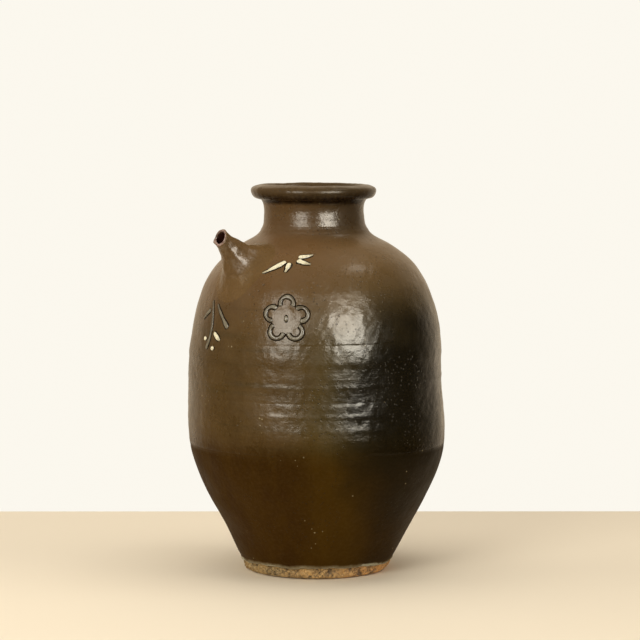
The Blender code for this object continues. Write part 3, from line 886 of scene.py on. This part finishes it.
def glaze_material(name, gloss, coat, tint):
    """Iron glaze; with a coat it also gets the gloss that fades at the seam and under the lip."""
    n = Nodes(name)
    # Body colour: thin and streaky under the seam, cloudy and banded above it, with a shoulder made
    # paler by painted light from above.
    high = n.ramp(n.plus(n.height(), n.times(n.noise(22, 3, 0.5), 0.014)), 0.1000, 0.1290)
    cloud = n.noise(16, 4, 0.6)
    streak = n.noise(1.0, 4, 0.6, at=n.stretched((60, 60, 9)))
    band = n.noise(1.0, 3, 0.5, at=n.stretched((8, 8, 150)))
    fine = n.noise(420, 3, 0.6)
    upper = n.mix(n.ramp(cloud, 0.32, 0.70), (0.058, 0.031, 0.0075), (0.098, 0.055, 0.0155))
    upper = n.mix(n.ramp(band, 0.50, 0.72, 0.0, 0.45), upper, (0.044, 0.029, 0.0080))
    lower = n.mix(n.ramp(streak, 0.35, 0.68), (0.030, 0.0110, 0.0001), (0.040, 0.0165, 0.0002))
    # An olive tone towards the front and right, partly the glaze's own and partly painted sheen.
    lower = n.mix(n.times(n.side(OLIVE_SHEEN_DIRECTION, 0.0, 0.070), 0.6), lower, (0.072, 0.036, 0.0003))
    # Painted shade: the lower wall darker on its right side, away from the light.
    lower = n.mix(n.times(n.side(SHADE_DIRECTION, 0.010, 0.050), 0.75), lower, (0.014, 0.0050, 0.0001))
    colour = n.mix(high, lower, upper)
    # The same olive tone on the upper wall, partly painted sheen.
    olive_sheen = n.times(n.side(OLIVE_SHEEN_DIRECTION, 0.0, 0.070), 0.7)
    colour = n.mix(n.times(olive_sheen, high), colour, (0.100, 0.075, 0.0180))
    # Painted light from above: the shoulder paler, less so on the neck.
    painted_light_shoulder = n.minus(n.by_height(0.170, 0.255, 0.0, 0.55), n.by_height(0.258, 0.272, 0.0, 0.14))
    colour = n.mix(painted_light_shoulder, colour, (0.195, 0.100, 0.041))
    # Painted shade on the nearly black side away from the light and on the neck's right side; the
    # darker, duller lip; and under it the dark pooled glaze, deepened with painted shade in the crease.
    dark = n.times(n.side(UNLIT_SIDE_DIRECTION, 0.066, 0.096), n.by_height(0.070, 0.125, 0.62, 0.96))
    dark = n.times(dark, n.by_height(0.195, 0.235, 1.0, 0.25))
    colour = n.mix(dark, colour, (0.0050, 0.0037, 0.0012))
    colour = n.mix(n.by_height(*LIP_HEIGHTS, 0.0, 0.72), colour, (0.048, 0.029, 0.011))
    # Painted shade on the neck's right side.
    shade = n.times(n.side(SHADE_DIRECTION, -0.012, 0.028), n.by_height(0.254, 0.268, 0.0, 0.55))
    colour = n.mix(shade, colour, (0.030, 0.018, 0.006))
    # Dark pooled glaze in the crease under the lip, partly painted shade.
    pool_and_crease_shade = n.times(n.by_height(0.2845, 0.2880), n.by_height(0.2900, 0.2960, 1.0, 0.0))
    patchy_pool_and_shade = n.times(pool_and_crease_shade, n.ramp(n.noise(60, 3, 0.6), 0.25, 0.60, 0.60, 1.00))
    colour = n.mix(patchy_pool_and_shade, colour, (0.012, 0.0045, 0.0016))
    # Grain, pale specks and dark pits.
    grain = n.times(n.ramp(fine, 0.35, 0.75, 0.0, 0.30), n.ramp(high, 0.0, 1.0, 0.35, 1.0))
    grain = n.times(grain, n.minus(1.0, dark))
    colour = n.mix(grain, colour, (0.120, 0.074, 0.026))
    speck = n.ramp(n.cells(210), 0.10, 0.16, 1.0, 0.0)
    speck = n.times(speck, n.ramp(n.noise(34, 2, 0.5), 0.60, 0.66))
    colour = n.mix(n.times(speck, 0.8), colour, (0.34, 0.27, 0.15))
    pits = n.ramp(n.cells(330), 0.10, 0.24, 1.0, 0.0)
    pits = n.times(pits, n.ramp(n.noise(26, 2, 0.5), 0.47, 0.62))
    colour = n.mix(n.times(pits, 0.55), colour, (0.020, 0.013, 0.007))
    # The thin, broken edge of the glaze above the foot.
    wander = n.plus(n.mark(), n.times(n.minus(n.noise(120, 3, 0.6), 0.5), 0.5))
    thin = n.ramp(wander, 0.12, 0.45, 1.0, 0.0)
    colour = n.mix(n.times(thin, 0.80), colour, (0.190, 0.150, 0.085))
    broken = n.noise(55, 3, 0.6)
    reach = n.minus(wander, n.ramp(broken, 0.45, 0.68, 0.0, 0.22))
    line = n.times(n.ramp(wander, 0.0, 0.10), n.ramp(reach, 0.02, 0.16, 1.0, 0.0))
    line = n.times(line, n.ramp(broken, 0.30, 0.50, 0.25, 0.80))
    colour = n.mix(line, colour, (0.400, 0.375, 0.265))
    n.look("Base Color", colour)
    # Rougher below the seam and on thin glaze, smoother on the side with painted shade and where the
    # glaze is pooled.
    rough = n.ramp(n.noise(45, 4, 0.6), 0.30, 0.72, 0.21, 0.34)
    rough = n.plus(rough, n.by_height(0.096, 0.101, 0.28, 0.0))
    rough = n.minus(rough, n.times(dark, 0.09))
    rough = n.plus(rough, n.by_height(*LIP_HEIGHTS, 0.0, 0.02))
    rough = n.minus(rough, n.times(pool_and_crease_shade, 0.12))
    rough = n.plus(rough, n.times(fine, 0.08))
    rough = n.plus(rough, n.times(thin, 0.15))
    n.look("Roughness", rough)
    # Orange peel, throwing lines and pits.
    peel = n.bump(n.noise(110, 4, 0.6), 0.00038, 0.50)
    peel = n.bump(n.noise(1.0, 3, 0.5, at=n.stretched((7, 7, 240))), 0.00030, 0.45, peel)
    peel = n.bump(n.noise(1.0, 3, 0.6, at=n.stretched((230, 230, 330))), 0.00034, 0.80, peel)
    peel = n.bump(fine, 0.00020, 0.6, peel)
    peel = n.bump(n.minus(1.0, pits), 0.00040, 0.8, peel)
    peel = n.bump(n.noise(1.0, 2, 0.5, at=n.stretched((14, 14, 700))), 0.00012, 0.35, peel)
    n.look("Normal", peel)
    n.shader.inputs["Specular IOR Level"].default_value = gloss
    n.shader.inputs["Specular Tint"].default_value = (*tint, 1.0)
    if coat:
        above_seam = n.ramp(n.plus(n.height(), n.times(n.noise(40, 3, 0.5), 0.010)), 0.1010, 0.1420)
        shine = n.mix(above_seam, (0.16, 0.13, 0.07), tint)
        shine = n.mix(n.by_height(*LIP_HEIGHTS, 0.0, 0.55), shine, (0.30, 0.25, 0.15))
        n.look("Specular Tint", n.mix(pool_and_crease_shade, shine, (0.06, 0.04, 0.02)))
        wet = n.times(n.by_height(0.098, 0.120, 0.0, coat), n.minus(1.0, pool_and_crease_shade))
        n.look("Coat Weight", wet)
    n.shader.inputs["Coat Roughness"].default_value = 0.16
    return n.material


def spout_material():
    """The same glaze, worn through to pinkish clay at the mouth."""
    n = Nodes("spout_glaze")
    cloud = n.noise(16, 4, 0.6)
    fine = n.noise(420, 3, 0.6)
    colour = n.mix(n.ramp(cloud, 0.32, 0.70), (0.112, 0.061, 0.0200), (0.160, 0.090, 0.0330))
    colour = n.mix(n.ramp(fine, 0.35, 0.75, 0.0, 0.30), colour, (0.120, 0.074, 0.026))
    mark = n.mark()
    worn = n.plus(mark, n.times(n.minus(n.noise(260, 4, 0.6), 0.5), 0.35))
    bare = n.ramp(worn, 1.22, 1.34)
    clay = n.mix(n.ramp(n.noise(500, 3, 0.6), 0.3, 0.7), (0.20, 0.115, 0.085), (0.38, 0.255, 0.205))
    colour = n.mix(bare, colour, clay)
    # Painted shade inside the bore.
    colour = n.mix(n.ramp(mark, -0.8, -0.1, 1.0, 0.0), colour, (0.030, 0.009, 0.006))
    n.look("Base Color", colour)
    rough = n.ramp(n.noise(45, 4, 0.6), 0.30, 0.72, 0.24, 0.38)
    n.look("Roughness", n.plus(rough, n.times(bare, 0.45)))
    peel = n.bump(n.noise(170, 4, 0.65), 0.00100, 0.90)
    peel = n.bump(fine, 0.00020, 0.6, peel)
    n.look("Normal", peel)
    n.shader.inputs["Specular IOR Level"].default_value = 0.45
    n.look("Specular Tint", n.mix(n.ramp(mark, 0.0, 0.40), (0.40, 0.34, 0.24), (1.0, 0.96, 0.88)))
    n.look("Coat Weight", n.ramp(mark, 0.0, 0.40, 0.02, 0.25))
    n.shader.inputs["Coat Roughness"].default_value = 0.12
    return n.material


def clay_material():
    n = Nodes("bare_clay")
    large = n.noise(70, 4, 0.65)
    small = n.noise(420, 4, 0.7)
    colour = n.mix(n.ramp(large, 0.35, 0.66), (0.200, 0.112, 0.030), (0.420, 0.280, 0.105))
    colour = n.mix(n.ramp(small, 0.45, 0.70, 0.0, 0.65), colour, (0.560, 0.430, 0.220))
    # Painted light on the foot's shaded right side, in two steps.
    painted_light = n.times(n.side(UNLIT_SIDE_DIRECTION, -0.010, 0.040), 0.55)
    colour = n.mix(painted_light, colour, (0.620, 0.360, 0.120))
    colour = n.mix(n.times(n.side(SHADE_DIRECTION, 0.010, 0.045), 0.55), colour, (0.900, 0.440, 0.120))
    dark = n.ramp(n.cells(190), 0.05, 0.28, 1.0, 0.0)
    patch = n.ramp(n.noise(55, 2, 0.5), 0.52, 0.60)
    colour = n.mix(n.times(dark, patch), colour, (0.050, 0.028, 0.010))
    # Painted shade in the crust's hollows and chips.
    hollow_shade = n.ramp(n.mark(), -1.10, -0.10, 0.70, 0.0)
    colour = n.mix(hollow_shade, colour, (0.060, 0.038, 0.016))
    crack = n.times(n.cracks(380), n.ramp(n.noise(75, 2, 0.5), 0.40, 0.55))
    colour = n.mix(n.times(crack, 0.65), colour, (0.022, 0.014, 0.007))
    n.look("Base Color", colour)
    n.look("Roughness", n.ramp(small, 0.3, 0.7, 0.62, 0.92))
    rough = n.bump(small, 0.00045, 0.9)
    rough = n.bump(n.minus(1.0, crack), 0.00060, 0.8, rough)
    rough = n.bump(n.noise(1100, 2, 0.6), 0.00015, 0.8, rough)
    n.look("Normal", rough)
    return n.material


def slip_material(name, full, veil):
    """Slip under glaze: dark and burnt at the edge, cream where it lies thick."""
    n = Nodes(name)
    mark = n.mark()
    patch = n.noise(150, 3, 0.6)
    shown = n.plus(mark, n.times(n.minus(patch, 0.5), 0.9))
    body = n.mix(n.ramp(shown, 0.45, 0.95), veil, full)
    body = n.mix(n.ramp(n.noise(900, 2, 0.6), 0.58, 0.70, 0.0, 0.6), body, (0.10, 0.07, 0.03))
    colour = n.mix(n.ramp(mark, 0.12, 0.42), (0.014, 0.010, 0.006), body)
    n.look("Base Color", colour)
    n.look("Roughness", n.ramp(patch, 0.3, 0.7, 0.22, 0.42))
    n.look("Normal", n.bump(n.noise(500, 3, 0.6), 0.00022, 0.6))
    slip = n.ramp(mark, 0.12, 0.42)
    n.look("Specular Tint", n.mix(slip, (0.12, 0.08, 0.04), (1.0, 1.0, 1.0)))
    n.look("Coat Weight", n.times(slip, 0.3))
    n.shader.inputs["Coat Roughness"].default_value = 0.15
    return n.material


def floor_material():
    n = Nodes("pale_floor")
    n.look("Base Color", (0.84, 0.74, 0.58, 1.0))
    n.look("Roughness", 0.75)
    return n.material


glaze = glaze_material("iron_glaze", 0.48, 0.22, (1.0, 0.96, 0.86))
make_foot(clay_material())
make_lower_wall(glaze_material("thin_iron_glaze", 0.08, 0.0, (1.0, 0.80, 0.40)))
make_upper_wall(glaze)
make_neck(glaze)
make_lip(glaze)
make_spout(spout_material())
cream_slip = slip_material("cream_slip", (0.86, 0.78, 0.54), (0.34, 0.28, 0.16))
veiled_slip = slip_material("veiled_slip", (0.210, 0.180, 0.120), (0.105, 0.080, 0.046))
make_slip(cream_slip, veiled_slip)


# Floor, light and camera. Directions are given as seen from the bottle, from the camera's side.

CAMERA_TURN = math.radians(-41.5)
TO_CAMERA = np.array([math.sin(CAMERA_TURN), -math.cos(CAMERA_TURN), 0.0])
TO_RIGHT = np.array([math.cos(CAMERA_TURN), math.sin(CAMERA_TURN), 0.0])
CAMERA_DISTANCE = 2.118
CAMERA_HEIGHT = 0.39255
CAMERA_PITCH = math.radians(5.3475)
# Lens and sensor in millimetres, and the angle between the view's middle and the bottle's axis.
CAMERA_LENS = 153.457875
SENSOR_WIDTH = 36.0
AXIS_OFFSET = 0.00161282
FLOOR_SIDE = 0.32
FLOOR_NEAR = 0.30
FLOOR_FAR = 0.266
FLOOR_GAP = 0.0004
FLOOR_THICKNESS = 0.0200
LIGHTS_AIM = 0.15
WALL_COLOUR = (1.0, 0.965, 0.88, 1.0)
WALL_STRENGTH = 0.97
ROOM_COLOUR = (1.0, 0.82, 0.60, 1.0)
# The room grows brighter from the bottle's sides to straight behind it.
ROOM_STRENGTH = {"From Min": 0.20, "From Max": 1.00, "To Min": 0.05, "To Max": 0.72}
# Name, turn, elevation, distance, width, height, power and colour of each light, then whether it
# is seen in diffuse light and in highlights.
LIGHTS = (
    ("WindowRight", 31, 18, 1.7, 0.90, 0.86, 31.0, (1.0, 0.975, 0.91), False, True),
    ("WindowLeft", -30, 19, 1.7, 0.72, 0.95, 18.0, (1.0, 0.97, 0.90), True, True),
    ("RoomLeft", -95, 25, 1.6, 1.6, 1.6, 12.0, (1.0, 0.93, 0.82), True, False),
    ("RoomRight", 75, 25, 1.6, 1.2, 1.2, 9.0, (1.0, 0.93, 0.82), True, False),
    ("Lamp", 95, 65, 1.7, 0.40, 0.40, 1.5, (1.0, 0.95, 0.85), True, True),
    ("Ceiling", 0, 88, 1.6, 1.6, 1.6, 16.0, (1.0, 0.98, 0.94), True, False),
)


def heading(turn, elevation):
    """Direction from the bottle: turn to the camera's right, elevation upwards, in degrees."""
    t, e = math.radians(turn), math.radians(elevation)
    level = math.cos(t) * TO_CAMERA + math.sin(t) * TO_RIGHT
    return math.cos(e) * level + np.array([0, 0, math.sin(e)])


def area_light(name, turn, elevation, distance, width, height, power, colour, diffuse, glossy):
    data = bpy.data.lights.new(name, "AREA")
    data.shape = "RECTANGLE"
    data.size, data.size_y = width, height
    data.energy = power
    data.color = colour
    light = bpy.data.objects.new(name, data)
    bpy.context.scene.collection.objects.link(light)
    target = np.array([0, 0, LIGHTS_AIM])
    where = target + heading(turn, elevation) * distance
    light.location = where
    light.rotation_euler = Vector(target - where).to_track_quat("-Z", "Y").to_euler()
    light.visible_camera = False
    light.visible_diffuse = diffuse
    light.visible_glossy = glossy


def make_floor():
    right, near, far = TO_RIGHT * FLOOR_SIDE, TO_CAMERA * FLOOR_NEAR, -TO_CAMERA * FLOOR_FAR
    corners = (near - right, near + right, far + right, far - right)
    top = [corner - np.array([0, 0, FLOOR_GAP]) for corner in corners]
    below = [corner - np.array([0, 0, FLOOR_THICKNESS]) for corner in top]
    faces = [(0, 1, 2, 3), (7, 6, 5, 4)]
    faces += [(i, i + 4, (i + 1) % 4 + 4, (i + 1) % 4) for i in range(4)]
    mesh = bpy.data.meshes.new("Floor")
    mesh.from_pydata([tuple(corner) for corner in top + below], [], faces)
    mesh.materials.append(floor_material())
    floor = bpy.data.objects.new("Floor", mesh)
    bpy.context.scene.collection.objects.link(floor)


def make_world():
    """The pale wall for the camera; for the bottle, a room that is brighter behind it."""
    world = bpy.data.worlds.new("Studio")
    bpy.context.scene.world = world
    world.use_nodes = True
    tree = world.node_tree
    back = tree.nodes["Background"]
    back.inputs["Color"].default_value = WALL_COLOUR
    back.inputs["Strength"].default_value = WALL_STRENGTH
    ray = new_node(tree, "TexCoord", {}).outputs["Generated"]
    behind = new_node(tree, "VectorMath", {0: ray, 1: tuple(-TO_CAMERA)}, operation="DOT_PRODUCT")
    inputs = {"Value": behind.outputs["Value"], **ROOM_STRENGTH}
    rise = new_node(tree, "MapRange", inputs, interpolation_type="SMOOTHSTEP")
    room = new_node(tree, "Background", {"Color": ROOM_COLOUR, "Strength": rise.outputs["Result"]})
    camera_ray = new_node(tree, "LightPath", {}).outputs["Is Camera Ray"]
    mix = new_node(tree, "MixShader", {0: camera_ray, 1: room.outputs[0], 2: back.outputs[0]})
    tree.links.new(mix.outputs[0], tree.nodes["World Output"].inputs["Surface"])


def make_camera():
    data = bpy.data.cameras.new("Camera")
    data.sensor_width = SENSOR_WIDTH
    data.lens = CAMERA_LENS
    camera = bpy.data.objects.new("Camera", data)
    bpy.context.scene.collection.objects.link(camera)
    camera.location = TO_CAMERA * CAMERA_DISTANCE + np.array([0, 0, CAMERA_HEIGHT])
    camera.rotation_euler = (math.pi / 2 - CAMERA_PITCH, 0.0, CAMERA_TURN - AXIS_OFFSET)
    bpy.context.scene.camera = camera


bpy.context.scene.view_settings.view_transform = "Standard"
make_floor()
make_world()
for light in LIGHTS:
    area_light(*light)
make_camera()
